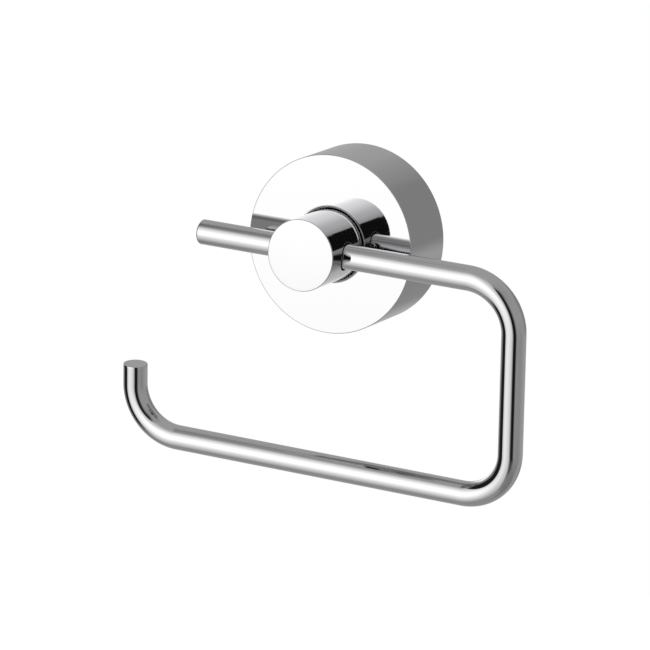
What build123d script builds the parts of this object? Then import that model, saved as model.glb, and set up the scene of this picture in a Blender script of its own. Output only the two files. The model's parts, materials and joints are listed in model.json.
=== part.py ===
from build123d import *
import os

# Wall-mounted toilet paper holder with one bent arm, open at its left end.
# Millimetres. +X to the right as seen from the room, +Y into the wall, +Z up.
# The origin is the centre of the round rose on the wall's surface.
# A distance called "out" is measured from the wall towards the room, along -Y.

# Rose: a drawn shell over a die-cast carrier
rose_radius = 28.75
rose_depth = 23.0
shell_wall = 0.8
shell_edge_radius = 0.3
collar_length = 3.4  # how far the rolled edge runs in beside the post
collar_roll_radius = 1.1
carrier_face = 7.0  # thickness of the carrier behind the shell's face
carrier_wall = 3.5
carrier_rim_gap = 0.6  # the carrier stops this far short of the wall

# Post
post_radius = 11.5
post_out = 43.0  # wall to the edge of the cap
cap_crown = 0.1
cap_edge_radius = 0.3
post_seat_depth = 1.6  # how far the post's foot is let into the carrier

# Arm: one bent round rod
rod_radius = 4.0
bend_radius = 16.0
arm_out = 32.5  # wall to the arm's hinge line
arm_drop = 0.5  # the hinge line lies this far below the post's centre
stub_end = 41.0  # free end of the top run, left of the post
arm_right = 69.5  # centre of the upright run
arm_left = 65.0  # centre of the upturned tip
arm_fall = 71.0  # hinge line down to the lower run
tip_height = 22.5  # lower run up to the tip's end face
arm_lean = 5.0  # degrees from plumb, with the lower run nearer the wall
stub_edge_radius = 0.7
tip_edge_radius = 0.25

# Bushes that the arm turns in
bush_wall = 0.35
bush_length = 6.0
bush_sunk = 0.2  # how far each bush ends below the mouth of its bore
bore_edge_radius = 0.15  # rounded mouth of the cross bore
bush_edge = 0.1

# Wall plate: a pressed steel dish
plate_thickness = 2.0
plate_rim_height = 10.0
plate_rim_wall = 2.0
plate_bend_radius = 1.0
plate_hole_spacing = 30.0
plate_hole_radius = 2.4
plate_centre_radius = 8.0

# Post screw, M6, with a spring lock washer and a dowel pin
post_screw_radius = 3.0
post_screw_length = 12.0
post_screw_head_radius = 5.0
post_screw_head_height = 4.0
post_screw_key = 5.0  # across the flats of the hexagon socket
washer_radius = 5.2
washer_thickness = 1.6
washer_split = 1.2
dowel_radius = 1.5
dowel_length = 7.0
dowel_floor = 0.6  # carrier left behind the dowel's hole
dowel_offset = 7.0  # above the post's centre

# Set screws, M4: one holds the arm in the post, one holds the rose on its plate
set_screw_radius = 2.0
set_screw_key = 2.0
set_screw_key_depth = 1.8
arm_screw_sunk = 0.8  # below the post's surface
arm_screw_point_radius = 1.3
groove_depth = 0.8
groove_width = 3.4
rose_screw_length = 4.0
rose_screw_out = 6.0

# Clearances
running_gap = 0.05  # arm in its bushes
locating_gap = 0.05  # pieces that slide together and stay put
thread_gap = 0.05
screw_gap = 0.3  # plain holes that a screw passes through
collar_gap = 0.15  # between the post and the rolled edge
plate_gap = 0.3  # between the wall plate and the carrier
point_gap = 0.1  # between a set screw's end and what it bears on

# Derived places
shell_face_back = rose_depth - shell_wall
carrier_radius = rose_radius - shell_wall - locating_gap
carrier_inner_radius = carrier_radius - carrier_wall
carrier_back = shell_face_back - carrier_face
collar_radius = post_radius + collar_gap
collar_end = rose_depth - collar_length
pocket_floor = collar_end - locating_gap
post_foot = pocket_floor - post_seat_depth
dowel_depth = post_foot - carrier_back - dowel_floor  # in the carrier
plate_radius = carrier_inner_radius - plate_gap
bush_bore_radius = rod_radius + running_gap
bush_radius = bush_bore_radius + bush_wall
bore_radius = bush_radius + locating_gap
mouth_reach = (post_radius**2 - (bore_radius + arm_drop) ** 2) ** 0.5  # the mouth's lowest place
bush_end = mouth_reach - bore_edge_radius - bush_sunk
hinge_z = -arm_drop
groove_radius = rod_radius - groove_depth


def along_y(radius, out_from, out_to, x=0, z=0):
    # round bar along the wall's normal, between two distances from the wall
    middle = (out_from + out_to) / 2
    return Pos(x, -middle, z) * Rot(90, 0, 0) * Cylinder(radius, abs(out_to - out_from))


def along_x(radius, x_from, x_to, out, z):
    middle = (x_from + x_to) / 2
    return Pos(middle, -out, z) * Rot(0, 90, 0) * Cylinder(radius, abs(x_to - x_from))


def along_z(radius, z_from, z_to, x, out):
    middle = (z_from + z_to) / 2
    return Pos(x, -out, middle) * Cylinder(radius, abs(z_to - z_from))


def hexagon_along_z(across_flats, z_from, z_to, x, out):
    outline = RegularPolygon(across_flats / 2, 6, major_radius=False)
    return Pos(x, -out, z_from) * extrude(outline, z_to - z_from)


def round_edges(solid, radius, out):
    # the circular edges of one radius that lie one distance from the wall
    found = []
    for edge in solid.edges().filter_by(GeomType.CIRCLE):
        if abs(edge.radius - radius) < 0.001 and abs(edge.arc_center.Y + out) < 0.001:
            found.append(edge)
    return found


def make_rose_shell():
    shell = along_y(rose_radius, 0, rose_depth)
    shell -= along_y(rose_radius - shell_wall, 0, shell_face_back)
    shell += along_y(collar_radius + shell_wall, collar_end, shell_face_back)
    shell -= along_y(collar_radius, 0, rose_depth)
    shell = fillet(round_edges(shell, collar_radius, rose_depth), collar_roll_radius)
    inner_roll = collar_roll_radius - shell_wall
    shell = fillet(round_edges(shell, collar_radius + shell_wall, shell_face_back), inner_roll)
    shell = fillet(round_edges(shell, rose_radius, rose_depth), shell_edge_radius)
    shell -= along_z(set_screw_radius + screw_gap, -rose_radius, -carrier_inner_radius, 0, rose_screw_out)
    return shell


def make_rose_carrier():
    carrier = along_y(carrier_radius, carrier_rim_gap, shell_face_back)
    carrier -= along_y(carrier_inner_radius, carrier_rim_gap, carrier_back)
    pocket_radius = collar_radius + collar_roll_radius + locating_gap
    carrier -= along_y(pocket_radius, pocket_floor, shell_face_back)
    carrier -= along_y(post_radius + locating_gap, post_foot, pocket_floor)
    carrier -= along_y(post_screw_radius + screw_gap, carrier_back, post_foot)
    dowel_hole_end = post_foot - dowel_depth
    carrier -= along_y(dowel_radius + locating_gap, dowel_hole_end, post_foot, z=dowel_offset)
    screw_hole_radius = set_screw_radius + thread_gap
    carrier -= along_z(screw_hole_radius, -carrier_radius, -plate_radius, 0, rose_screw_out)
    return carrier


def make_post():
    crown_top = (0, -post_out - cap_crown)
    cap_edge = (post_radius, -post_out)
    crown_radius = (post_radius**2 + cap_crown**2) / (2 * cap_crown)
    outline = RadiusArc(crown_top, cap_edge, crown_radius)
    outline += Polyline(cap_edge, (post_radius, -post_foot), (0, -post_foot), crown_top)
    post = Rot(0, 45, 0) * revolve(make_face(outline), Axis.Y)  # the seam stays clear of every hole
    post = fillet(round_edges(post, post_radius, post_out), cap_edge_radius)
    post -= along_x(bore_radius, -post_radius, post_radius, arm_out, hinge_z)
    mouths = []
    for edge in post.edges():
        middle = edge.bounding_box().center()
        if abs(middle.Y + arm_out) < locating_gap and abs(middle.X) > bore_radius:
            mouths.append(edge)
    post = fillet(mouths, bore_edge_radius)
    tapped_depth = post_screw_length - (post_foot - carrier_back) - washer_thickness + screw_gap
    post -= along_y(post_screw_radius + thread_gap, post_foot, post_foot + tapped_depth)
    dowel_hole_end = post_foot + dowel_length - dowel_depth + locating_gap
    post -= along_y(dowel_radius + locating_gap, post_foot, dowel_hole_end, z=dowel_offset)
    post -= along_z(set_screw_radius + thread_gap, -post_radius, hinge_z, 0, arm_out)
    return post


def make_post_screw():
    head_seat = carrier_back - washer_thickness
    head_back = head_seat - post_screw_head_height
    screw = along_y(post_screw_radius, head_seat, head_seat + post_screw_length)
    head = along_y(post_screw_head_radius, head_back, head_seat)
    socket = extrude(RegularPolygon(post_screw_key / 2, 6, major_radius=False), post_screw_head_height / 2)
    head -= Pos(0, -head_back, 0) * Rot(90, 0, 0) * socket
    return screw + head


def make_post_lock_washer():
    seat = carrier_back - washer_thickness
    washer = along_y(washer_radius, seat, carrier_back)
    washer -= along_y(post_screw_radius + screw_gap, seat, carrier_back)
    split = Box(washer_split, washer_thickness, washer_radius)
    split_place = Pos(0, -(seat + carrier_back) / 2, washer_radius / 2)
    return washer - split_place * split


def make_post_dowel():
    end = post_foot - dowel_depth
    return along_y(dowel_radius, end, end + dowel_length, z=dowel_offset)


def make_roll_arm():
    top = hinge_z
    bottom = hinge_z - arm_fall
    corners = [
        (-stub_end, -arm_out, top),
        (arm_right, -arm_out, top),
        (arm_right, -arm_out, bottom),
        (-arm_left, -arm_out, bottom),
        (-arm_left, -arm_out, bottom + tip_height),
    ]
    path = FilletPolyline(*corners, radius=bend_radius)
    section = Plane(origin=corners[0], z_dir=(1, 0, 0)) * Circle(rod_radius)
    arm = sweep(section, path=path)
    stub_rim = arm.edges().filter_by(GeomType.CIRCLE).sort_by(Axis.X)
    arm = fillet([e for e in stub_rim if abs(e.arc_center.X + stub_end) < 0.001], stub_edge_radius)
    tip_top = bottom + tip_height
    tip_rim = arm.edges().filter_by(GeomType.CIRCLE).filter_by_position(Axis.Z, tip_top - 0.01, tip_top + 0.01)
    arm = fillet(tip_rim, tip_edge_radius)
    groove = along_x(rod_radius + running_gap, -groove_width / 2, groove_width / 2, arm_out, hinge_z)
    groove -= along_x(groove_radius, -groove_width / 2, groove_width / 2, arm_out, hinge_z)
    hinge_line = Axis((0, -arm_out, hinge_z), (1, 0, 0))
    return (arm - groove).rotate(hinge_line, arm_lean)


def make_arm_bush(side):
    outer_end = side * bush_end
    inner_end = outer_end - side * bush_length
    bush = along_x(bush_radius, inner_end, outer_end, arm_out, hinge_z)
    bush -= along_x(bush_bore_radius, inner_end, outer_end, arm_out, hinge_z)
    return chamfer(bush.edges().filter_by(GeomType.CIRCLE), bush_edge)


def make_arm_set_screw():
    driven_end = -post_radius + arm_screw_sunk
    shoulder = hinge_z - bush_radius
    point_end = hinge_z - groove_radius - point_gap
    screw = along_z(set_screw_radius, driven_end, shoulder, 0, arm_out)
    screw += along_z(arm_screw_point_radius, shoulder, point_end, 0, arm_out)
    return screw - hexagon_along_z(set_screw_key, driven_end, driven_end + set_screw_key_depth, 0, arm_out)


def make_wall_plate():
    plate = along_y(plate_radius, 0, plate_rim_height)
    plate -= along_y(plate_radius - plate_rim_wall, plate_thickness, plate_rim_height)
    plate = fillet(round_edges(plate, plate_radius, 0), plate_bend_radius)
    plate -= along_y(plate_centre_radius, 0, plate_thickness)
    for side in (-1, 1):
        plate -= along_y(plate_hole_radius, 0, plate_thickness, x=side * plate_hole_spacing / 2)
    return plate


def make_rose_set_screw():
    bearing_end = -plate_radius - point_gap
    driven_end = bearing_end - rose_screw_length
    screw = along_z(set_screw_radius, driven_end, bearing_end, 0, rose_screw_out)
    return screw - hexagon_along_z(set_screw_key, driven_end, driven_end + set_screw_key_depth, 0, rose_screw_out)


pieces = {
    "rose_shell": make_rose_shell(),
    "rose_carrier": make_rose_carrier(),
    "post": make_post(),
    "post_screw": make_post_screw(),
    "post_lock_washer": make_post_lock_washer(),
    "post_dowel": make_post_dowel(),
    "roll_arm": make_roll_arm(),
    "arm_bush_left": make_arm_bush(-1),
    "arm_bush_right": make_arm_bush(1),
    "arm_set_screw": make_arm_set_screw(),
    "wall_plate": make_wall_plate(),
    "rose_set_screw": make_rose_set_screw(),
}

os.makedirs("parts", exist_ok=True)
for name, solid in pieces.items():
    export_step(solid, f"parts/{name}.step")
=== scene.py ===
import json
from math import radians

import bmesh
import bpy
import numpy as np
from mathutils import Matrix, Vector


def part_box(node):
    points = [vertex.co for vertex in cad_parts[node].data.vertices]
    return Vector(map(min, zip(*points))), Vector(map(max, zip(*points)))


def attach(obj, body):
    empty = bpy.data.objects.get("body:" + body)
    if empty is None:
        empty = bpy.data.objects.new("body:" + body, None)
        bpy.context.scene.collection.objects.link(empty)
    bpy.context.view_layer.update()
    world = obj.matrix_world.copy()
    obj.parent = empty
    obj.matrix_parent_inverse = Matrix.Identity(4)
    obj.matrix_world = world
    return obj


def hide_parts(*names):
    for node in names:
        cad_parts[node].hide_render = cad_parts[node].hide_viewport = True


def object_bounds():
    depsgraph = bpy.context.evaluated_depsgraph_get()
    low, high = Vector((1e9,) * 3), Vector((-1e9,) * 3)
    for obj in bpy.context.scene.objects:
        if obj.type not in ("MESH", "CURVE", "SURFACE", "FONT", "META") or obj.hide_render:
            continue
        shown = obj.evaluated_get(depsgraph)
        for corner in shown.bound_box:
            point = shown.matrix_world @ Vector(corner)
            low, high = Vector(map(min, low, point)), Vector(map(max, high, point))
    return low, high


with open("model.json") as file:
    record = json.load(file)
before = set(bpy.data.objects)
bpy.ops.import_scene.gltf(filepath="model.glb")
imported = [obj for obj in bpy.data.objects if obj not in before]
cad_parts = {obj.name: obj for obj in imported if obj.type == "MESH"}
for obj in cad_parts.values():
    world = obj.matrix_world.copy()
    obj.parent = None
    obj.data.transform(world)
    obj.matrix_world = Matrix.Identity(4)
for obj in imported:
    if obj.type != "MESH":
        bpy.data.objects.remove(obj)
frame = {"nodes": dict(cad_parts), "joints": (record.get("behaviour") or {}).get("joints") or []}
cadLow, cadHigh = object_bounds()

# Toilet paper holder: chrome rose, post and bent arm on a hidden wall fixing.
# Metres, in the frame's own axes: +X right, +Y into the wall, +Z up. "Out" is measured from the wall
# along -Y.

mm = 0.001
mergeDistance = 1e-7  # metres
sameDistance = 1e-6  # millimetres
pullSteps = (0.3, 0.55, 0.75, 0.88, 0.96, 1.0)  # how far each ring is drawn in towards a hole
ringStep = 3.75  # degrees between the columns of the rod and the sleeves
edgeRow = 0.04  # millimetres from a rounding to the row that keeps the face beside it flat
smallEdgeSteps = 6  # faces round a broken edge
scene = bpy.context.scene
hinge = Vector(frame["joints"][0]["pos_m"])  # on the arm's top run

print("stage 1: frame loaded,", len(frame["nodes"]), "nodes")


def arcPoints(centre, radius, start, end, steps):
    # circle of one radius: (cr + radius cos t, co + radius sin t) for t from start to end, in degrees
    t = np.radians(np.linspace(start, end, steps + 1))
    return np.stack([centre[0] + radius * np.cos(t), centre[1] + radius * np.sin(t)], axis=1)


def rowsBetween(start, end, count):
    # evenly spaced points from start to end, both included
    f = np.linspace(0, 1, count + 1)[:, None]
    return np.asarray(start, float) * (1 - f) + np.asarray(end, float) * f


def joinRows(*parts):
    # one outline from several stretches, with repeated points dropped
    rows = np.concatenate([np.atleast_2d(np.asarray(p, float)) for p in parts])
    keep = np.concatenate([[True], np.abs(np.diff(rows, axis=0)).max(1) > sameDistance])
    return rows[keep]


def turnedGrid(outline, angles, axes, origin=(0, 0, 0)):
    # each outline point (radius, height) goes round the axis: origin + height w + radius (u cos a + v sin a)
    u, v, w = (np.asarray(k, float) for k in axes)
    radius, height = outline[:, 0, None, None], outline[:, 1, None, None]
    a = np.radians(angles)[None, :, None]
    return np.asarray(origin, float) + height * w + radius * (np.cos(a) * u + np.sin(a) * v)


def gridQuads(rows, columns, closed):
    # four corners of each cell of a grid whose columns wrap round, and whose rows do too when closed
    j = np.arange(rows if closed else rows - 1)[:, None]
    i = np.arange(columns)[None, :]
    down, across = (j + 1) % rows, (i + 1) % columns
    quads = [j * columns + i, down * columns + i, down * columns + across, j * columns + across]
    return np.stack(np.broadcast_arrays(*quads), axis=-1)


def blockLoop(j0, j1, i0, i1, columns):
    # indices round the edge of a block of cells, row j0 first
    top = j0 * columns + np.arange(i0, i1)
    side = np.arange(j0, j1) * columns + i1
    bottom = j1 * columns + np.arange(i1, i0, -1)
    back = np.arange(j1, j0, -1) * columns + i0
    return np.concatenate([top, side, bottom, back])


def ringQuads(loopA, loopB):
    # quads between two closed loops of the same length
    nextA, nextB = np.roll(loopA, -1), np.roll(loopB, -1)
    return np.stack([loopA, loopB, nextB, nextA], axis=-1)


class Skin:
    # vertices and faces gathered from whole arrays
    def __init__(self):
        self.points, self.quads, self.count = [], [], 0

    def addPoints(self, points):
        points = np.asarray(points, float).reshape(-1, 3)
        self.points.append(points)
        self.count += len(points)
        return np.arange(self.count - len(points), self.count)

    def addQuads(self, quads):
        self.quads.append(np.asarray(quads).reshape(-1, 4))

    def vertices(self):
        return np.concatenate(self.points)


def drill(skin, cells, loop, columns, hole, rings):
    # A round hole in one block of a turned grid. Every point of the block's edge is drawn in a straight
    # line towards the hole's circle, in the plane across the hole, and then lifted back on to the surface.
    # rings lists (radius, depth) of what follows inside the hole, depth None staying on the surface.
    j0, j1, i0, i1 = loop
    cells[j0:j1, i0:i1] = False
    edge = blockLoop(j0, j1, i0, i1, columns)
    points = skin.vertices()[edge]
    centre, t, b, n = (np.asarray(k, float) for k in (hole["centre"], hole["t"], hole["b"], hole["n"]))
    flat = np.stack([(points - centre) @ t, (points - centre) @ b], axis=1)
    reach = np.linalg.norm(flat, axis=1)
    way = flat / reach[:, None]
    last = edge
    for f in pullSteps:
        spot = way * (reach * (1 - f) + hole["radius"] * f)[:, None]
        height = hole["lift"](spot[:, 0], spot[:, 1])
        ring = skin.addPoints(centre + spot[:, :1] * t + spot[:, 1:] * b + height[:, None] * n)
        skin.addQuads(ringQuads(last, ring))
        last = ring
    mouth = hole["lift"](way[:, 0] * hole["radius"], way[:, 1] * hole["radius"])
    for radius, sink, level in rings:
        height = mouth - sink if level is None else np.full(len(way), level)
        ring = skin.addPoints(centre + radius * (way[:, :1] * t + way[:, 1:] * b) + height[:, None] * n)
        skin.addQuads(ringQuads(last, ring))
        last = ring
    return last


def drillThrough(skin, cells, blocks, columns, holes, rings):
    # A hole right through a wall: one block on each face, with the hole's wall between their loops.
    # The far face's rows run the other way, so its loop is turned to match.
    near, far = (drill(skin, cells, block, columns, hole, rings) for block, hole in zip(blocks, holes))
    rows = blocks[1][1] - blocks[1][0]
    far = np.roll(np.concatenate([far[:1], far[:0:-1]]), -rows)
    skin.addQuads(ringQuads(near, far))


def rowsOn(outline, column, value, places):
    # indices of the outline's points that have this radius (column 0) or height (column 1) at these places
    same = np.abs(outline[:, column] - value) < sameDistance
    return np.where(same & np.isin(outline[:, 1 - column], places))[0]


def roundingRings(radius, edge, steps):
    # a quarter circle down into a hole, for t from 0 to 90 degrees:
    # (radius + edge (1 - sin t), edge (1 - cos t))
    turn = np.radians(np.linspace(0, 90, steps + 1))[1:]
    return [((radius + edge * (1 - np.sin(t))) * mm, edge * (1 - np.cos(t)) * mm, None) for t in turn]


def makeMesh(name, vertices, quads, sharp=35):
    # One mesh from whole arrays. Points that no face uses are left out, points that coincide are merged,
    # and edges over the sharp angle stay crisp.
    used, corners = np.unique(quads, return_inverse=True)
    vertices, quads = np.asarray(vertices)[used], corners.reshape(-1, 4).astype(np.int32)
    mesh = bpy.data.meshes.new(name)
    mesh.vertices.add(len(vertices))
    mesh.vertices.foreach_set("co", vertices.astype(np.float32).ravel())
    mesh.loops.add(quads.size)
    mesh.loops.foreach_set("vertex_index", quads.ravel())
    mesh.polygons.add(len(quads))
    mesh.polygons.foreach_set("loop_start", np.arange(0, quads.size, 4, dtype=np.int32))
    mesh.update(calc_edges=True)
    work = bmesh.new()
    work.from_mesh(mesh)
    bmesh.ops.remove_doubles(work, verts=work.verts, dist=mergeDistance)
    bmesh.ops.dissolve_degenerate(work, edges=work.edges, dist=mergeDistance / 10)
    work.to_mesh(mesh)
    work.free()
    mesh.shade_smooth()
    mesh.set_sharp_from_angle(angle=radians(sharp))
    piece = bpy.data.objects.new(name, mesh)
    scene.collection.objects.link(piece)
    return piece


wallAxes = ((1, 0, 0), (0, 0, 1), (0, -1, 0))  # u, v and the way out from the wall
alongX = ((0, 1, 0), (0, 0, 1), (1, 0, 0))
turnAngles = np.arange(360) - 60.0  # starts clear of every hole
straightUp, straightDown = 90, 270  # where the dowel and the set screws are, in those angles


roseSizes = {  # millimetres
    "wall": 0.8,
    "edgeRadius": 0.3,
    "collarRadius": 11.65,
    "collarLength": 3.4,
    "rollRadius": 1.1,
    "screwOut": 6.0,
    "screwHoleRadius": 2.3,
    "screwBlock": (4.0, 9),  # the net round the hole: half height, and half width in degrees
    "screwRows": 17,
    "inset": 1.0,  # from an edge to the first row of the open face beside it
    "rollSteps": (20, 8),  # faces round the rolled edge, outside and inside
    "edgeSteps": 10,
    "openRows": {"collar": 3, "face": 8, "side": 8, "inside": 5, "faceBack": 4},
}


def cylinderLift(radius):
    # height of a round surface above its axis, at a sideways distance s: sqrt(radius squared - s squared)
    return lambda s, y: np.sqrt(radius**2 - s**2)


def makeRoseShell():
    # A closed outline turned about the wall's normal: up the collar, round the rolled edge,
    # out over the flat face, round the crisp edge, down the side and back up inside the wall.
    s = roseSizes
    low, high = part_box("rose_shell")
    rim, depth = high.x / mm, -low.y / mm
    inner, faceBack = rim - s["wall"], depth - s["wall"]
    collar, roll, edge = s["collarRadius"], s["rollRadius"], s["edgeRadius"]
    collarEnd = depth - s["collarLength"]
    rollCentre = (collar + roll, depth - roll)
    inset, openRows = s["inset"], s["openRows"]
    blockHalf, blockTurn = s["screwBlock"]
    screwRows = np.linspace(s["screwOut"] + blockHalf, s["screwOut"] - blockHalf, s["screwRows"])
    outerSide = joinRows(
        [(rim, depth - edge)], [(rim, depth - edge - edgeRow)],
        rowsBetween((rim, depth - edge - inset), (rim, screwRows[0]), openRows["side"]),
        np.stack([np.full_like(screwRows, rim), screwRows], axis=1),
        [(rim, inset)], [(rim, edgeRow)], [(rim, 0)])
    outline = joinRows(
        rowsBetween((collar, collarEnd), (collar, depth - roll), openRows["collar"]),
        arcPoints(rollCentre, roll, 180, 90, s["rollSteps"][0]),
        [(collar + roll + edgeRow, depth)],
        rowsBetween((collar + roll + inset, depth), (rim - edge - edgeRow, depth), openRows["face"]),
        arcPoints((rim - edge, depth - edge), edge, 90, 0, s["edgeSteps"]),
        outerSide,
        [(inner, 0)], [(inner, inset)],
        np.stack([np.full_like(screwRows, inner), screwRows[::-1]], axis=1),
        rowsBetween((inner, screwRows[0] + inset), (inner, faceBack), openRows["inside"]),
        rowsBetween((inner, faceBack), (collar + roll, faceBack), openRows["faceBack"]),
        arcPoints(rollCentre, roll - s["wall"], 90, 180, s["rollSteps"][1]),
        [(collar + s["wall"], collarEnd)])
    skin = Skin()
    columns = len(turnAngles)
    skin.addPoints(turnedGrid(outline * mm, turnAngles, wallAxes))
    quads = gridQuads(len(outline), columns, closed=True)
    cells = np.ones(quads.shape[:2], bool)
    i0, i1 = np.searchsorted(turnAngles, [straightDown - blockTurn, straightDown + blockTurn])
    blocks, holes = [], []
    for radius in (rim, inner):
        onSide = rowsOn(outline, 0, radius, screwRows)
        blocks.append((onSide[0], onSide[-1], i0, i1))
        holes.append({"centre": (0, -s["screwOut"] * mm, 0), "t": (1, 0, 0), "b": (0, 1, 0), "n": (0, 0, -1),
                      "radius": s["screwHoleRadius"] * mm, "lift": cylinderLift(radius * mm)})
    drillThrough(skin, cells, blocks, columns, holes, [])
    skin.addQuads(quads[cells])
    return makeMesh("rose_shell_chrome", skin.vertices(), np.concatenate(skin.quads))


postSizes = {  # millimetres
    "crown": 0.1,
    "edgeRadius": 0.3,
    "boreRadius": 4.45,
    "boreEdge": 0.15,
    "screwHoleRadius": 2.05,
    "tappedRadius": 3.05,
    "tappedDepth": 7.95,
    "footEdge": 0.3,
    "boreBlock": (6.5, 40),  # the net round the bore: half height, and half width in degrees
    "boreRows": 53,
    "boreDepths": (7, 3, 0),  # millimetres from the post's middle to each ring down the bore
    "screwBlock": (4.0, 20),
    "screwFloor": 0.1,  # the screw's hole stops this far short of the bore
    "crownRows": 14,
    "edgeSteps": 14,
    "inset": (1.0, 0.5, 1.0),  # from the edge, and on each side of the net round the bore
    "sideRows": (4, 6),  # in front of the bore and behind it
}


def makePost():
    # An outline turned about the wall's normal, from the crown's middle to the tapped foot,
    # with the arm's bore across it and the set screw's hole below.
    s = postSizes
    low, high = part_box("post")
    radius, top, foot = high.x / mm, -low.y / mm, -high.y / mm
    boreOut, boreZ = -hinge.y / mm, hinge.z / mm
    crownRadius = (radius**2 + s["crown"]**2) / (2 * s["crown"])
    ballOut = top - crownRadius
    edge = s["edgeRadius"]
    edgeOut = ballOut + np.sqrt((crownRadius - edge)**2 - (radius - edge)**2)
    tilt = np.degrees(np.arcsin((radius - edge) / (crownRadius - edge)))
    crownTurn = np.radians(np.linspace(0, tilt, s["crownRows"]))
    crown = np.stack([crownRadius * np.sin(crownTurn), ballOut + crownRadius * np.cos(crownTurn)], axis=1)
    (boreHalf, boreTurn), (screwHalf, screwTurn) = s["boreBlock"], s["screwBlock"]
    boreRows = np.linspace(boreOut + boreHalf, boreOut - boreHalf, s["boreRows"])
    footEdge = s["footEdge"]
    (underEdge, overBore, underBore), (frontRows, backRows) = s["inset"], s["sideRows"]
    outline = joinRows(
        crown, arcPoints((radius - edge, edgeOut), edge, 90 - tilt, 0, s["edgeSteps"]),
        [(radius, edgeOut - edgeRow)],
        rowsBetween((radius, edgeOut - underEdge), (radius, boreRows[0] + overBore), frontRows),
        np.stack([np.full_like(boreRows, radius), boreRows], axis=1),
        rowsBetween((radius, boreRows[-1] - underBore), (radius, foot + footEdge), backRows),
        [(radius - footEdge, foot)], [(s["tappedRadius"], foot)],
        [(s["tappedRadius"], foot + s["tappedDepth"])], [(0, foot + s["tappedDepth"])])
    skin = Skin()
    columns = len(turnAngles)
    skin.addPoints(turnedGrid(outline * mm, turnAngles, wallAxes))
    quads = gridQuads(len(outline), columns, closed=False)
    cells = np.ones(quads.shape[:2], bool)
    onSide = rowsOn(outline, 0, radius, boreRows)
    mouth = s["boreRadius"] + s["boreEdge"]
    rounding = roundingRings(s["boreRadius"], s["boreEdge"], smallEdgeSteps)
    wall = [(s["boreRadius"] * mm, 0, depth * mm) for depth in s["boreDepths"]]
    for side, angle in ((1, 0), (-1, 180)):
        i0, i1 = np.searchsorted(turnAngles, [angle - boreTurn, angle + boreTurn])
        hole = {"centre": (0, hinge.y, hinge.z), "t": (0, 0, 1), "b": (0, 1, 0), "n": (side, 0, 0),
                "radius": mouth * mm,
                "lift": lambda z, y: np.sqrt((radius * mm)**2 - (z + hinge.z)**2)}
        drill(skin, cells, (onSide[0], onSide[-1], i0, i1), columns, hole, rounding + wall)
    i0, i1 = np.searchsorted(turnAngles, [straightDown - screwTurn, straightDown + screwTurn])
    near = onSide[np.abs(outline[onSide, 1] - boreOut) <= screwHalf + edgeRow]
    hole = {"centre": (0, hinge.y, 0), "t": (1, 0, 0), "b": (0, 1, 0), "n": (0, 0, -1),
            "radius": s["screwHoleRadius"] * mm, "lift": cylinderLift(radius * mm)}
    floor = (s["boreRadius"] - boreZ + s["screwFloor"]) * mm
    bottom = [(s["screwHoleRadius"] * mm, 0, floor), (0, 0, floor)]
    drill(skin, cells, (near[0], near[-1], i0, i1), columns, hole, bottom)
    skin.addQuads(quads[cells])
    return makeMesh("post_chrome", skin.vertices(), np.concatenate(skin.quads))


armSizes = {  # millimetres
    "rodRadius": 4.0,
    "bendRadius": 16.0,
    "stubEnd": 41.0,  # from the post's centre
    "tipHeight": 22.5,
    "lean": 5.0,  # degrees from plumb, towards the wall
    "stubEdge": 0.7,
    "stubEdgeSteps": 10,
    "tipEdge": 0.25,
    "grooveDepth": 0.8,
    "grooveWidth": 3.4,
    "bendStep": 2.5,  # degrees between the rings round a bend
    "stubRings": (1.0, 12.0, 24.0),  # millimetres along the rod
    "tipRing": 1.0,  # millimetres before the end
}


def bentPath(corners, bend, stepAngle):
    # Straight runs joined by arcs that touch both. Returns points, directions and the length along the path.
    corners = [np.asarray(c, float) for c in corners]
    points, ways = [corners[0]], [corners[1] - corners[0]]
    for before, corner, after in zip(corners, corners[1:], corners[2:]):
        a = (corner - before) / np.linalg.norm(corner - before)
        b = (after - corner) / np.linalg.norm(after - corner)
        t = np.radians(np.arange(0, 90 + stepAngle, stepAngle))[:, None]
        start = corner - bend * a
        points.extend(start + bend * (np.sin(t) * a + (1 - np.cos(t)) * b))
        ways.extend(np.cos(t) * a + np.sin(t) * b)
    points.append(corners[-1])
    ways.append(corners[-1] - corners[-2])
    points, ways = np.array(points), np.array(ways)
    ways /= np.linalg.norm(ways, axis=1)[:, None]
    along = np.concatenate([[0], np.cumsum(np.linalg.norm(np.diff(points, axis=0), axis=1))])
    return points, ways, along


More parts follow.
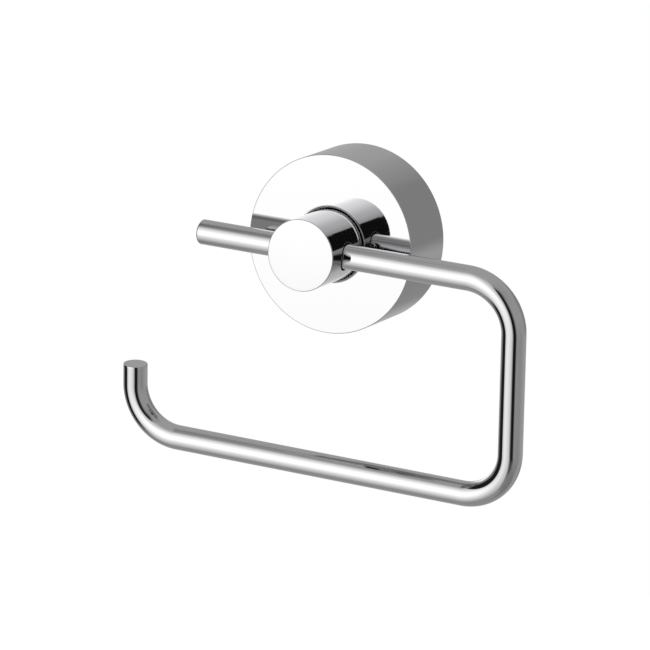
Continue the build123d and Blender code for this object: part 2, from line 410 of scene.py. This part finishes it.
def makeRollArm():
    # A circle carried along the bent path. Its radius is a function of the length along it:
    # rounded in at both ends, and smaller in the groove that the set screw runs in. The whole arm is
    # then turned about its hinge: y' = y cos a - z sin a, z' = y sin a + z cos a.
    s = armSizes
    low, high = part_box("roll_arm")
    rod = s["rodRadius"]
    left, right = low.x / mm + rod, high.x / mm - rod
    stub = -s["stubEnd"]
    out, top = hinge.y / mm, hinge.z / mm
    lean = radians(s["lean"])
    bottom = top - (top - low.z / mm - rod) / np.cos(lean)
    corners = [(stub, out, top), (right, out, top), (right, out, bottom),
               (left, out, bottom), (left, out, bottom + s["tipHeight"])]
    points, ways, along = bentPath(corners, s["bendRadius"], s["bendStep"])
    total = along[-1]
    stubEnd = arcPoints((s["stubEdge"], rod - s["stubEdge"]), s["stubEdge"], 180, 90, s["stubEdgeSteps"])
    tipEnd = arcPoints((total - s["tipEdge"], rod - s["tipEdge"]), s["tipEdge"], 90, 0, smallEdgeSteps)
    grooveFrom = -s["grooveWidth"] / 2 - stub
    grooveTo = s["grooveWidth"] / 2 - stub
    neck = rod - s["grooveDepth"]
    groove = np.array([(grooveFrom - edgeRow, rod), (grooveFrom, rod), (grooveFrom, neck),
                       (grooveTo, neck), (grooveTo, rod), (grooveTo + edgeRow, rod)])
    runs = along[(along > grooveTo) & (along < total - s["tipRing"])]
    before = np.array([(place, rod) for place in s["stubRings"]])
    after = np.stack([runs, np.full_like(runs, rod)], axis=1)
    rows = np.concatenate([[(0, 0), (0, rod - s["stubEdge"] - edgeRow)], stubEnd, before, groove, after,
                           [(total - s["tipRing"], rod)], tipEnd,
                           [(total, rod - s["tipEdge"] - edgeRow), (total, 0)]])
    where = np.stack([np.interp(rows[:, 0], along, points[:, k]) for k in range(3)], axis=1)
    facing = np.stack([np.interp(rows[:, 0], along, ways[:, k]) for k in range(3)], axis=1)
    facing /= np.linalg.norm(facing, axis=1)[:, None]
    across = np.array([0.0, 1.0, 0.0])
    normal = np.cross(across, facing)
    a = np.radians(np.arange(0, 360, ringStep))
    ring = np.cos(a)[None, :, None] * across + np.sin(a)[None, :, None] * normal[:, None, :]
    grid = where[:, None, :] + rows[:, 1][:, None, None] * ring
    fromHinge = grid - np.array([0, out, top])
    turn = np.array([[1, 0, 0], [0, np.cos(lean), -np.sin(lean)], [0, np.sin(lean), np.cos(lean)]])
    grid = fromHinge @ turn.T + np.array([0, out, top])
    quads = gridQuads(len(rows), len(a), closed=False)
    return makeMesh("roll_arm_chrome", grid.reshape(-1, 3) * mm, quads.reshape(-1, 4), sharp=40)


carrierSizes = {  # millimetres
    "wall": 3.5,
    "faceBack": 22.2,  # behind the shell's face, out from the wall
    "floor": 15.2,
    "pocketRadius": 12.8,
    "pocketFloor": 19.55,
    "seatRadius": 11.55,
    "seatFloor": 17.95,
    "screwRadius": 3.3,
    "dowelRadius": 1.55,
    "dowelUp": 7.0,
    "dowelFloor": 15.8,
    "dowelBlock": (2.6, 20),  # the net round the hole: half size outwards, and half width in degrees
    "dowelRows": 15,
    "setScrewRadius": 2.05,
    "setScrewOut": 6.0,
    "setScrewBlock": (4.0, 9),
    "setScrewRows": 17,
    "brokenEdge": 0.3,
    "castFillet": 1.0,
    "castFilletSteps": 10,
}


def makeRoseCarrier():
    # A closed outline turned about the wall's normal: the stepped seat for the post and the collar, out over
    # the front, down the side, over the rim and back up inside, with a cast fillet in the inner corner.
    s = carrierSizes
    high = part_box("rose_carrier")[1]
    radius, rim = high.x / mm, -high.y / mm
    inner, edge, cast = radius - s["wall"], s["brokenEdge"], s["castFillet"]
    (dowelHalf, dowelTurn), (screwHalf, screwTurn) = s["dowelBlock"], s["setScrewBlock"]
    seatRows = np.linspace(s["dowelUp"] - dowelHalf, s["dowelUp"] + dowelHalf, s["dowelRows"])
    screwRows = np.linspace(s["setScrewOut"] + screwHalf, s["setScrewOut"] - screwHalf, s["setScrewRows"])
    outline = joinRows(
        [(s["screwRadius"], s["floor"])], [(s["screwRadius"], s["seatFloor"])],
        np.stack([seatRows, np.full_like(seatRows, s["seatFloor"])], axis=1),
        [(s["seatRadius"], s["seatFloor"])], [(s["seatRadius"], s["pocketFloor"])],
        [(s["pocketRadius"], s["pocketFloor"])], [(s["pocketRadius"], s["faceBack"])],
        [(radius - edge, s["faceBack"])], [(radius, s["faceBack"] - edge)],
        np.stack([np.full_like(screwRows, radius), screwRows], axis=1),
        arcPoints((radius - edge, rim + edge), edge, 0, -90, smallEdgeSteps),
        arcPoints((inner + edge, rim + edge), edge, -90, -180, smallEdgeSteps),
        np.stack([np.full_like(screwRows, inner), screwRows[::-1]], axis=1),
        arcPoints((inner - cast, s["floor"] - cast), cast, 0, 90, s["castFilletSteps"]),
        [(s["screwRadius"] + edge, s["floor"])])
    skin = Skin()
    columns = len(turnAngles)
    skin.addPoints(turnedGrid(outline * mm, turnAngles, wallAxes))
    quads = gridQuads(len(outline), columns, closed=True)
    cells = np.ones(quads.shape[:2], bool)
    i0, i1 = np.searchsorted(turnAngles, [straightUp - dowelTurn, straightUp + dowelTurn])
    onSeat = rowsOn(outline, 1, s["seatFloor"], seatRows)
    depth = s["dowelRadius"] * mm, 0, s["dowelFloor"] * mm
    dowel = {"centre": (0, 0, s["dowelUp"] * mm), "t": (1, 0, 0), "b": (0, 0, 1), "n": (0, -1, 0),
             "radius": s["dowelRadius"] * mm, "lift": lambda x, z: np.full(len(x), s["seatFloor"] * mm)}
    drill(skin, cells, (onSeat[0], onSeat[-1], i0, i1), columns, dowel, [depth, (0, 0, s["dowelFloor"] * mm)])
    i0, i1 = np.searchsorted(turnAngles, [straightDown - screwTurn, straightDown + screwTurn])
    blocks, holes = [], []
    for wallRadius in (radius, inner):
        onSide = rowsOn(outline, 0, wallRadius, screwRows)
        blocks.append((onSide[0], onSide[-1], i0, i1))
        holes.append({"centre": (0, -s["setScrewOut"] * mm, 0), "t": (1, 0, 0), "b": (0, 1, 0),
                      "n": (0, 0, -1), "radius": s["setScrewRadius"] * mm,
                      "lift": cylinderLift(wallRadius * mm)})
    drillThrough(skin, cells, blocks, columns, holes, [])
    skin.addQuads(quads[cells])
    return makeMesh("rose_carrier_casting", skin.vertices(), np.concatenate(skin.quads))


plateSizes = {  # millimetres
    "thickness": 2.0,
    "rimWall": 2.0,
    "bendRadius": 1.0,
    "bendSteps": 12,
    "brokenEdge": 0.25,
    "centreRadius": 8.0,
    "holeRadius": 2.4,
    "holeSpacing": 30.0,
    "holeBlock": (4.2, 17),  # the net round a hole: half size outwards, and half width in degrees
    "holeRows": 19,
}


def makeWallPlate():
    # A closed outline turned about the wall's normal: through the centre hole, out over the dish's floor,
    # up the rim and over it, down to the pressed bend and back in along the wall, with two screw holes.
    s = plateSizes
    low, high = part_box("wall_plate")
    radius, height, thick = high.x / mm, -low.y / mm, s["thickness"]
    inner, edge, bend = radius - s["rimWall"], s["brokenEdge"], s["bendRadius"]
    holeHalf, holeTurn = s["holeBlock"]
    middle = s["holeSpacing"] / 2
    rows = np.linspace(middle - holeHalf, middle + holeHalf, s["holeRows"])
    outline = joinRows(
        arcPoints((s["centreRadius"] + edge, edge), edge, 270, 180, smallEdgeSteps),
        arcPoints((s["centreRadius"] + edge, thick - edge), edge, 180, 90, smallEdgeSteps),
        np.stack([rows, np.full_like(rows, thick)], axis=1),
        [(inner, thick)], arcPoints((inner + edge, height - edge), edge, 180, 90, smallEdgeSteps),
        arcPoints((radius - edge, height - edge), edge, 90, 0, smallEdgeSteps),
        arcPoints((radius - bend, bend), bend, 0, -90, s["bendSteps"]),
        np.stack([rows[::-1], np.zeros_like(rows)], axis=1))
    skin = Skin()
    columns = len(turnAngles)
    skin.addPoints(turnedGrid(outline * mm, turnAngles, wallAxes))
    quads = gridQuads(len(outline), columns, closed=True)
    cells = np.ones(quads.shape[:2], bool)
    rounding = roundingRings(s["holeRadius"], edge, smallEdgeSteps)
    for side, angle in ((1, 0), (-1, 180)):
        i0, i1 = np.searchsorted(turnAngles, [angle - holeTurn, angle + holeTurn])
        blocks, holes = [], []
        for level, outwards in ((thick, -1), (0, 1)):
            onFace = rowsOn(outline, 1, level, rows)
            blocks.append((onFace[0], onFace[-1], i0, i1))
            holes.append({"centre": (side * middle * mm, -level * mm, 0), "t": (1, 0, 0), "b": (0, 0, 1),
                          "n": (0, outwards, 0), "radius": (s["holeRadius"] + edge) * mm,
                          "lift": lambda x, z: np.zeros(len(x))})
        drillThrough(skin, cells, blocks, columns, holes, rounding)
    skin.addQuads(quads[cells])
    return makeMesh("wall_plate_pressing", skin.vertices(), np.concatenate(skin.quads))


bushSizes = {"bore": 4.05, "wall": 0.35, "edge": 0.1}  # millimetres


def makeBush(node):
    # a closed outline of a thin sleeve with broken edges, turned about the arm's hinge line
    s = bushSizes
    low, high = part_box(node)
    start, end = low.x / mm, high.x / mm
    inner, outer, e = s["bore"], s["bore"] + s["wall"], s["edge"]
    outline = np.array([(inner, end - e), (inner + e, end), (outer - e, end), (outer, end - e),
                        (outer, start + e), (outer - e, start), (inner + e, start), (inner, start + e)])
    angles = np.arange(0, 360, ringStep)
    grid = turnedGrid(outline * mm, angles, alongX, (0, hinge.y, hinge.z))
    quads = gridQuads(len(outline), len(angles), closed=True)
    return makeMesh(node + "_sleeve", grid.reshape(-1, 3), quads.reshape(-1, 4))


def linear(hexColour):
    # sRGB hex to linear RGBA
    c = np.array([int(hexColour[k:k + 2], 16) for k in (1, 3, 5)]) / 255
    c = np.where(c <= 0.04045, c / 12.92, ((c + 0.055) / 1.055)**2.4)
    return (*c, 1.0)


def addNode(tree, kind, inputs=None, **settings):
    # One node: its settings, then values or links for its sockets. A node given as a value links its
    # first output that is in use.
    node = tree.nodes.new(kind)
    for name, value in settings.items():
        setattr(node, name, value)
    for name, value in (inputs or {}).items():
        socket = node.inputs[name]
        if isinstance(value, bpy.types.Node):
            value = next(output for output in value.outputs if output.enabled)
        if isinstance(value, bpy.types.NodeSocket):
            tree.links.new(value, socket)
        else:
            socket.default_value = value
    return node


def noiseScale(size):
    # pattern scale from the size of one patch in millimetres
    return 1 / (size * mm)


def newMaterial(name):
    material = bpy.data.materials.new(name)
    material.use_nodes = True
    material.node_tree.nodes.clear()
    return material, material.node_tree


def finishMaterial(tree, shader):
    addNode(tree, "ShaderNodeOutputMaterial", {"Surface": shader.outputs[0]})


chromeLook = {
    "colour": "#CDCDCE",
    "roughness": (0.018, 0.045),
    "hazeSize": 9.0,  # millimetres between patches of polish haze
    "hazeDetail": 4.0,
    "hazeRange": (0.35, 0.7),  # part of the noise that the roughness follows
    "waveSize": 22.0,  # millimetres between the buffing wheel's slow waves
    "waveDetail": 1.0,
    "waveDepth": 0.03,  # millimetres
}


def makeChrome(name, seed):
    # Bright chrome plate on buffed brass: a cool, near-black-and-white mirror. Slow waves left by the
    # buffing wheel bend its reflections very slightly, and faint haze softens them here and there.
    s = chromeLook
    material, tree = newMaterial(name)
    place = addNode(tree, "ShaderNodeTexCoord")
    shift = addNode(tree, "ShaderNodeMapping", {
        "Vector": place.outputs["Object"], "Location": (seed, seed / 3, 0)})
    haze = addNode(tree, "ShaderNodeTexNoise", {
        "Vector": shift.outputs[0], "Scale": noiseScale(s["hazeSize"]), "Detail": s["hazeDetail"]})
    rough = addNode(tree, "ShaderNodeMapRange", {
        "Value": haze.outputs["Fac"], "From Min": s["hazeRange"][0], "From Max": s["hazeRange"][1],
        "To Min": s["roughness"][0], "To Max": s["roughness"][1]})
    wave = addNode(tree, "ShaderNodeTexNoise", {
        "Vector": shift.outputs[0], "Scale": noiseScale(s["waveSize"]), "Detail": s["waveDetail"]})
    bump = addNode(tree, "ShaderNodeBump", {
        "Height": wave.outputs["Fac"], "Distance": s["waveDepth"] * mm, "Strength": 1.0})
    shader = addNode(tree, "ShaderNodeBsdfPrincipled", {
        "Base Color": linear(s["colour"]), "Metallic": 1.0,
        "Roughness": rough.outputs["Result"], "Normal": bump.outputs["Normal"]})
    finishMaterial(tree, shader)
    return material


castZincLook = {
    "colours": ("#8D9093", "#A9ACAE"),
    "roughness": 0.48,
    "flowSize": 7.0,  # millimetres between the darker flow patches
    "flowDetail": 5.0,
    "grainSize": 0.5,  # coarser than the real skin, so that it shows
    "grainDetail": 3.0,
    "grainDepth": 0.04,
    "grainStrength": 0.6,
}


def makeCastZinc():
    # Zinc alloy as it leaves the die: dull light grey, with a fine pebbled skin and darker flow patches.
    s = castZincLook
    material, tree = newMaterial("zinc_alloy_die_cast")
    place = addNode(tree, "ShaderNodeTexCoord")
    flow = addNode(tree, "ShaderNodeTexNoise", {
        "Vector": place.outputs["Object"], "Scale": noiseScale(s["flowSize"]), "Detail": s["flowDetail"]})
    grain = addNode(tree, "ShaderNodeTexNoise", {
        "Vector": place.outputs["Object"], "Scale": noiseScale(s["grainSize"]), "Detail": s["grainDetail"]})
    colour = addNode(tree, "ShaderNodeMix", {
        0: flow.outputs["Fac"], 6: linear(s["colours"][0]), 7: linear(s["colours"][1])}, data_type="RGBA")
    bump = addNode(tree, "ShaderNodeBump", {
        "Height": grain.outputs["Fac"], "Distance": s["grainDepth"] * mm, "Strength": s["grainStrength"]})
    shader = addNode(tree, "ShaderNodeBsdfPrincipled", {
        "Base Color": colour.outputs[2], "Metallic": 1.0,
        "Roughness": s["roughness"], "Normal": bump.outputs["Normal"]})
    finishMaterial(tree, shader)
    return material


zincPlateLook = {
    "colours": ("#AEB4BC", "#C9CBCB"),
    "roughness": (0.22, 0.36),
    "spangleSize": 3.0,  # millimetres across one spangle
    "spangleReach": 0.8,
    "cloudSize": 11.0,
    "cloudDetail": 4.0,
}


def makeZincPlate():
    # Pressed steel with bright zinc plate: silvery with a faint blue cast, and soft cloudy spangle.
    s = zincPlateLook
    material, tree = newMaterial("pressed_steel_zinc_plated")
    place = addNode(tree, "ShaderNodeTexCoord")
    spangle = addNode(tree, "ShaderNodeTexVoronoi", {
        "Vector": place.outputs["Object"], "Scale": noiseScale(s["spangleSize"])})
    cloud = addNode(tree, "ShaderNodeTexNoise", {
        "Vector": place.outputs["Object"], "Scale": noiseScale(s["cloudSize"]), "Detail": s["cloudDetail"]})
    colour = addNode(tree, "ShaderNodeMix", {
        0: cloud.outputs["Fac"], 6: linear(s["colours"][0]), 7: linear(s["colours"][1])}, data_type="RGBA")
    rough = addNode(tree, "ShaderNodeMapRange", {
        "Value": spangle.outputs["Distance"], "From Max": s["spangleReach"],
        "To Min": s["roughness"][0], "To Max": s["roughness"][1]})
    shader = addNode(tree, "ShaderNodeBsdfPrincipled", {
        "Base Color": colour.outputs[2], "Metallic": 1.0, "Roughness": rough.outputs["Result"]})
    finishMaterial(tree, shader)
    return material


screwSteelLook = {
    "colour": "#B4B1AB",
    "roughness": (0.22, 0.42),
    "toolSize": 0.35,  # millimetres between tool marks
    "toolDetail": 2.0,
    "toolDepth": 0.01,
    "toolStrength": 0.5,
}


def makeScrewSteel():
    # Stainless steel, turned: fine tool marks break up the shine.
    s = screwSteelLook
    material, tree = newMaterial("stainless_steel_turned")
    place = addNode(tree, "ShaderNodeTexCoord")
    marks = addNode(tree, "ShaderNodeTexNoise", {
        "Vector": place.outputs["Object"], "Scale": noiseScale(s["toolSize"]), "Detail": s["toolDetail"]})
    rough = addNode(tree, "ShaderNodeMapRange", {
        "Value": marks.outputs["Fac"], "To Min": s["roughness"][0], "To Max": s["roughness"][1]})
    bump = addNode(tree, "ShaderNodeBump", {
        "Height": marks.outputs["Fac"], "Distance": s["toolDepth"] * mm, "Strength": s["toolStrength"]})
    shader = addNode(tree, "ShaderNodeBsdfPrincipled", {
        "Base Color": linear(s["colour"]), "Metallic": 1.0,
        "Roughness": rough.outputs["Result"], "Normal": bump.outputs["Normal"]})
    finishMaterial(tree, shader)
    return material


blackNylonLook = {
    "colours": ("#0E0E0F", "#1B1B1D"),
    "roughness": 0.45,
    "ior": 1.53,
    "grainSize": 0.25,  # millimetres between grains
    "grainDetail": 2.0,
    "grainDepth": 0.01,
    "grainStrength": 0.5,
}


def makeBlackNylon():
    # Moulded nylon: near-black with a waxy sheen and a fine moulded grain.
    s = blackNylonLook
    material, tree = newMaterial("nylon_moulded_black")
    place = addNode(tree, "ShaderNodeTexCoord")
    grain = addNode(tree, "ShaderNodeTexNoise", {
        "Vector": place.outputs["Object"], "Scale": noiseScale(s["grainSize"]), "Detail": s["grainDetail"]})
    colour = addNode(tree, "ShaderNodeMix", {
        0: grain.outputs["Fac"], 6: linear(s["colours"][0]), 7: linear(s["colours"][1])}, data_type="RGBA")
    bump = addNode(tree, "ShaderNodeBump", {
        "Height": grain.outputs["Fac"], "Distance": s["grainDepth"] * mm, "Strength": s["grainStrength"]})
    shader = addNode(tree, "ShaderNodeBsdfPrincipled", {
        "Base Color": colour.outputs[2], "Roughness": s["roughness"], "IOR": s["ior"],
        "Normal": bump.outputs["Normal"]})
    finishMaterial(tree, shader)
    return material


roseShell = makeRoseShell()
post = makePost()
rollArm = makeRollArm()
bushes = [makeBush(node) for node in ("arm_bush_left", "arm_bush_right")]
roseCarrier, wallPlate = makeRoseCarrier(), makeWallPlate()
print("stage 2: surfaces made")

chromeShell = makeChrome("brass_drawn_chrome_plated", seed=0.0)
chromeSolid = makeChrome("brass_turned_chrome_plated", seed=0.31)
chromeRod = makeChrome("brass_rod_bent_chrome_plated", seed=0.57)
castZinc, zincPlate = makeCastZinc(), makeZincPlate()
screwSteel, blackNylon = makeScrewSteel(), makeBlackNylon()

newPieces = [
    (roseShell, "rose_shell", "wall_base", "chrome_shell", chromeShell),
    (post, "post", "wall_base", "chrome_solid", chromeSolid),
    (rollArm, "roll_arm", "arm", "chrome_rod", chromeRod),
    (bushes[0], "arm_bush_left", "wall_base", "black_nylon", blackNylon),
    (bushes[1], "arm_bush_right", "wall_base", "black_nylon", blackNylon),
    (roseCarrier, "rose_carrier", "wall_base", "cast_zinc", castZinc),
    (wallPlate, "wall_plate", "wall_base", "zinc_plated_steel", zincPlate),
]
for piece, node, body, slotName, material in newPieces:
    piece.data.materials.append(material)
    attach(piece, body)
    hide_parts(node)

keptNodes = {
    "post_screw": screwSteel,
    "post_lock_washer": screwSteel,
    "post_dowel": screwSteel,
    "arm_set_screw": screwSteel,
    "rose_set_screw": screwSteel,
}
for node, material in keptNodes.items():
    nodeObject = frame["nodes"][node]
    for materialSlot in nodeObject.material_slots:
        materialSlot.material = material
print("stage 3: materials given")


studio = {
    # How bright the chrome finds each direction. Azimuth runs from straight ahead of the rose towards +X,
    # and elevation up from level, both in degrees. Each panel lies over those before it.
    "sides": 0.18, "behind": 0.29, "above": 0.30, "below": 0.24,
    "sideEnds": (90, 140),  # azimuth where the sides start to give way to the back, and where they end
    "levelEnds": (30, 70),  # the same in elevation, for above and below
    "panels": [
        # middle (azimuth, elevation), turn, half size (across, up), soft edge (across, up), brightness
        {"middle": (-21.2, -1.0), "turn": -1.7, "half": (48.9, 69.3), "soft": (21.2, 34.2), "level": 0.56},
        {"middle": (-21.7, 3.9), "turn": 23.4, "half": (38.9, 48.2), "soft": (29.2, 48.0), "level": 1.09},
        {"middle": (-72.2, 0.0), "turn": 5.0, "half": (21.0, 46.0), "soft": (5.0, 10.0), "level": 0.010},
        {"middle": (35.9, -0.5), "turn": 7.0, "half": (15.6, 47.5), "soft": (2.8, 13.3), "level": 0.006},
        {"middle": (-72.0, 55.5), "turn": -12.1, "half": (42.5, 9.5), "soft": (42.0, 8.0), "level": 0.05},
        {"middle": (87.7, -59.2), "turn": -16.0, "half": (80.0, 20.5), "soft": (60.0, 5.3), "level": 0.17},
        {"middle": (94.9, 20.0), "turn": 17.8, "half": (63.4, 67.5), "soft": (26.1, 59.3), "level": 0.27},
        {"middle": (162.0, 9.0), "turn": 0.0, "half": (34.0, 24.0), "soft": (20.0, 9.0), "level": 0.19},
        {"middle": (172.0, -28.0), "turn": 0.0, "half": (28.0, 11.0), "soft": (18.0, 6.0), "level": 0.20},
        {"middle": (-131.0, -3.0), "turn": -11.5, "half": (20.0, 32.0), "soft": (14.0, 14.0), "level": 0.8},
    ],
}


def makeStudio():
    # Soft panels and dark cards round the object, as brightness by direction. In a panel's own turned
    # axes, measured in its half sizes, strength = ease(|x|) ease(|y|), which is 0 at 1 and rises over the
    # soft edge. The panels lie over each other: level = level (1 - strength) + panel level strength.
    world = bpy.data.worlds.new("studio")
    scene.world = world
    world.use_nodes = True
    tree = world.node_tree
    tree.nodes.clear()
    place = addNode(tree, "ShaderNodeTexCoord")
    way = addNode(tree, "ShaderNodeSeparateXYZ", {0: place.outputs["Generated"]})
    ahead = addNode(tree, "ShaderNodeMath", {0: way.outputs["Y"], 1: -1.0}, operation="MULTIPLY")
    turned = addNode(tree, "ShaderNodeMath", {0: way.outputs["X"], 1: ahead}, operation="ARCTAN2")
    azimuth = addNode(tree, "ShaderNodeMath", {0: turned}, operation="DEGREES")
    lifted = addNode(tree, "ShaderNodeMath", {0: way.outputs["Z"]}, operation="ARCSINE")
    elevation = addNode(tree, "ShaderNodeMath", {0: lifted}, operation="DEGREES")
    aside = addNode(tree, "ShaderNodeMath", {0: azimuth}, operation="ABSOLUTE")
    start, end = studio["sideEnds"]
    level = addNode(tree, "ShaderNodeMapRange", {
        0: aside, 1: start, 2: end, 3: studio["sides"], 4: studio["behind"]}, interpolation_type="SMOOTHSTEP")
    for side, name in ((1, "above"), (-1, "below")):
        start, end = (side * edge for edge in studio["levelEnds"])
        share = addNode(tree, "ShaderNodeMapRange", {0: elevation, 1: start, 2: end},
                        interpolation_type="SMOOTHSTEP")
        level = addNode(tree, "ShaderNodeMix", {0: share, 2: level, 3: studio[name]})
    for panel in studio["panels"]:
        (a, e), (wide, tall), (softWide, softTall) = panel["middle"], panel["half"], panel["soft"]
        full = (1 - softWide / wide, 1 - softTall / tall, 0)
        wrapped = addNode(tree, "ShaderNodeMath", {0: azimuth, 1: a + 180, 2: a - 180}, operation="WRAP")
        flat = addNode(tree, "ShaderNodeCombineXYZ", {0: wrapped, 1: elevation})
        own = addNode(tree, "ShaderNodeMapping", {
            "Vector": flat, "Location": (a, e, 0), "Rotation": (0, 0, radians(panel["turn"])),
            "Scale": (wide, tall, 1)}, vector_type="TEXTURE")
        size = addNode(tree, "ShaderNodeVectorMath", {0: own}, operation="ABSOLUTE")
        eased = addNode(tree, "ShaderNodeMapRange", {6: size, 7: (1, 1, 1), 8: full},
                        data_type="FLOAT_VECTOR", interpolation_type="SMOOTHSTEP")
        steps = addNode(tree, "ShaderNodeSeparateXYZ", {0: eased})
        strength = addNode(tree, "ShaderNodeMath", {0: steps.outputs["X"], 1: steps.outputs["Y"]},
                           operation="MULTIPLY")
        level = addNode(tree, "ShaderNodeMix", {0: strength, 2: level, 3: panel["level"]})
    # the panels' brightness is what the chrome shows, so its own reflectance is divided out
    lit = addNode(tree, "ShaderNodeMath", {0: level, 1: linear(chromeLook["colour"])[1]}, operation="DIVIDE")
    seen = addNode(tree, "ShaderNodeLightPath").outputs["Is Camera Ray"]
    shown = addNode(tree, "ShaderNodeMix", {0: seen, 2: lit, 3: 1.0})
    light = addNode(tree, "ShaderNodeBackground", {"Color": (1, 1, 1, 1), "Strength": shown})
    addNode(tree, "ShaderNodeOutputWorld", {"Surface": light})


floorLook = {
    "drop": 2.0,  # metres below the object
    "reach": 6.0,
    "colour": "#F6F6F6",
    "roughness": 0.7,
    "glow": 0.8,
    "glowColour": "#FFFFFF",
    "grainSize": 2.0,  # millimetres
    "grainDetail": 2.0,
    "grainDepth": 0.02,
    "grainStrength": 0.2,
}


def makeFloor():
    # A wide light table, well below the object: matt white acrylic lit from beneath, so it stays plain white.
    s = floorLook
    material, tree = newMaterial("acrylic_sheet_opal")
    place = addNode(tree, "ShaderNodeTexCoord")
    grain = addNode(tree, "ShaderNodeTexNoise", {
        "Vector": place.outputs["Object"], "Scale": noiseScale(s["grainSize"]), "Detail": s["grainDetail"]})
    bump = addNode(tree, "ShaderNodeBump", {
        "Height": grain.outputs["Fac"], "Distance": s["grainDepth"] * mm, "Strength": s["grainStrength"]})
    shader = addNode(tree, "ShaderNodeBsdfPrincipled", {
        "Base Color": linear(s["colour"]), "Roughness": s["roughness"], "Normal": bump.outputs["Normal"],
        "Emission Color": linear(s["glowColour"]), "Emission Strength": s["glow"]})
    finishMaterial(tree, shader)
    reach, level = s["reach"], cadLow.z - s["drop"]
    corners = [(-reach, -reach, level), (reach, -reach, level), (reach, reach, level), (-reach, reach, level)]
    mesh = bpy.data.meshes.new("floor")
    mesh.from_pydata(corners, [], [(0, 1, 2, 3)])
    mesh.materials.append(material)
    floor = bpy.data.objects.new("floor", mesh)
    scene.collection.objects.link(floor)
    floor.visible_glossy = False


makeStudio()
makeFloor()
scene.view_settings.view_transform = "Standard"


viewpoint = {
    "azimuth": 26.724,  # degrees to the right of straight ahead
    "elevation": 13.964,
    "roll": 3.359,
    "distance": 1.54025,  # metres
    "lens": 269.004,
    "sensor": 36.0,
    "clip": (0.05, 50.0),
    "aimFromMiddle": (-2.02, -1.83, -2.90),  # millimetres from the middle of the whole object
}


def makeCamera():
    # forward = (-sin a cos e, cos a cos e, -sin e), and right and up are then rolled about it
    s = viewpoint
    a, e, r = radians(s["azimuth"]), radians(s["elevation"]), radians(s["roll"])
    forward = Vector((-np.sin(a) * np.cos(e), np.cos(a) * np.cos(e), -np.sin(e)))
    right = Vector((np.cos(a), np.sin(a), 0))
    up = right.cross(forward)
    turnedRight = right * np.cos(r) + up * np.sin(r)
    turnedUp = up * np.cos(r) - right * np.sin(r)
    data = bpy.data.cameras.new("camera")
    data.lens, data.sensor_width = s["lens"], s["sensor"]
    data.clip_start, data.clip_end = s["clip"]
    camera = bpy.data.objects.new("camera", data)
    scene.collection.objects.link(camera)
    aim = (cadLow + cadHigh) / 2 + Vector(s["aimFromMiddle"]) * mm
    camera.matrix_world = Matrix((turnedRight, turnedUp, -forward)).transposed().to_4x4()
    camera.location = aim - forward * s["distance"]
    scene.camera = camera


makeCamera()
print("stage 4: studio and camera set")
